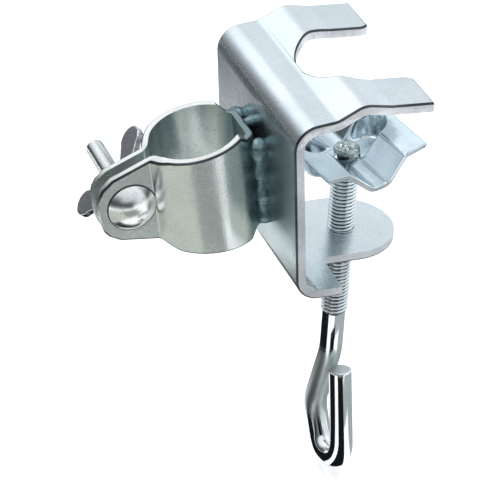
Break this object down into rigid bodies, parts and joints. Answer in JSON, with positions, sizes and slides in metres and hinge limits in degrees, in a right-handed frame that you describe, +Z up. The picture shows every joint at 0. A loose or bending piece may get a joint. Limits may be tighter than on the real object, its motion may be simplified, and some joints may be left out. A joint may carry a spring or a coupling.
{
  "type": "rail clamp with pole collar",
  "caption": "Bent steel C clamp with a hooked screw and swivel pressure pad, and a two-eared pole collar closed by a wing nut.",
  "frame": {"origin": "middle of the back plate's inner face, where the rail seats", "axes": "+X away from the plate, under the jaw; +Y along the rail; +Z up, with the hook hanging down"},
  "size_m": [0.1179, 0.08, 0.1772],
  "materials": {
    "sheet": "bright zinc plate, semi-gloss",
    "strap": "bright zinc plate, fine grain",
    "weld": "plated weld bead",
    "bolt": "bright zinc plate, glossy",
    "nut": "bright zinc plate, satin",
    "screw": "bright zinc plate, mirror-like",
    "pad": "bright zinc plate, glossy"
  },
  "bodies": {
    "clamp_body": {"c_bracket": "sheet", "collar_strap": "strap", "weld_bead_near": "weld", "weld_bead_far": "weld", "weld_tack": "weld", "carriage_bolt": "bolt"},
    "pad": {"pressure_pad": "pad"},
    "screw": {"clamp_screw": "screw"},
    "washer": {"washer": "bolt"},
    "wing_nut": {"wing_nut": "nut"}
  },
  "joints": [
    {"name": "pad_travel", "type": "slide", "parent": "clamp_body", "child": "pad", "axis": [0.0785, 0, 0.9969], "range_m": [-0.024, 0.022]},
    {"name": "screw_turn", "type": "hinge", "parent": "pad", "child": "screw", "pos_m": [0.02899, 0, -0.03362], "axis": [0.0785, 0, 0.9969], "range_deg": [-5761, 5281]},
    {"name": "washer_slide", "type": "slide", "parent": "clamp_body", "child": "washer", "axis": [0, 1, 0], "range_m": [0, 0.0201]},
    {"name": "wing_nut_turn", "type": "hinge", "parent": "washer", "child": "wing_nut", "pos_m": [-0.05192, -0.0052, -0.0039], "axis": [0, 1, 0], "range_deg": [0, 7200]}
  ],
  "couplings": [
    {"joint": "screw_turn", "follows": "pad_travel", "rad_per_m": 4188.8},
    {"joint": "washer_slide", "follows": "wing_nut_turn", "m_per_rad": 0.00015915}
  ]
}
